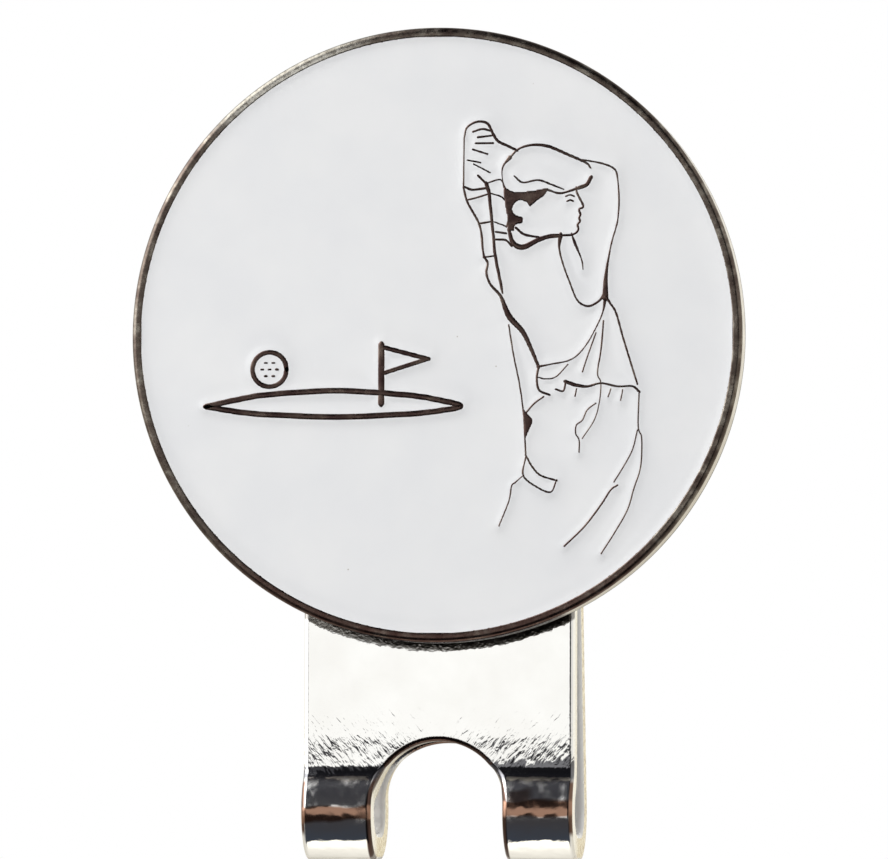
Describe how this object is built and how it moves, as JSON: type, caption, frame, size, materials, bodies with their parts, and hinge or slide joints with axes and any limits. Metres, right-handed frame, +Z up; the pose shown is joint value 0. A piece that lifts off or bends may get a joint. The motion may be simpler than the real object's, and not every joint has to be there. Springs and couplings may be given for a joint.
{
  "type": "golf ball marker with cap clip",
  "caption": "Round enamelled ball marker coin with raised metal line picture, held by a magnet on a folded spring clip for a cap brim.",
  "frame": {"origin": "middle of the bounding box's underside, under the coin's centre, on the flat bottom of the clip's fold", "axes": "+Z up along the clip from its fold to the coin's top, coin face towards -Y, +X to the right of someone facing the coin"},
  "size_m": [0.025, 0.007, 0.0339],
  "materials": {
    "clip_nickel": "bright nickel plate over rolled spring steel",
    "coin_nickel": "bright nickel plate over die-struck iron, dark where it mirrors the room",
    "magnet_plating": "satin nickel plate",
    "adhesive": "cured glue film",
    "white_enamel": "glossy soft enamel, baked"
  },
  "bodies": {
    "clip": {"clip_front_plate": "clip_nickel", "magnet": "magnet_plating", "magnet_adhesive": "adhesive"},
    "spring_leg": {"clip_spring_leg": "clip_nickel"},
    "marker": {"marker_blank": "coin_nickel", "enamel_field": "white_enamel", "enamel_forearm": "white_enamel", "enamel_hands": "white_enamel", "enamel_sleeve": "white_enamel", "enamel_face": "white_enamel", "enamel_shirt": "white_enamel", "enamel_shirt_tail": "white_enamel", "enamel_grip_hand": "white_enamel", "enamel_cuff": "white_enamel", "enamel_green": "white_enamel", "enamel_pennant": "white_enamel", "enamel_ball": "white_enamel"}
  },
  "joints": [
    {"name": "leg_flex", "type": "hinge", "parent": "clip", "child": "spring_leg", "pos_m": [-0.00017, 0.00092, 0], "axis": [-1, 0, 0], "range_deg": [0, 12], "stiffness_Nm_per_rad": 0.02},
    {"name": "marker_lift", "type": "slide", "parent": "clip", "child": "marker", "axis": [0, -1, 0], "range_m": [0, 0.012]}
  ]
}
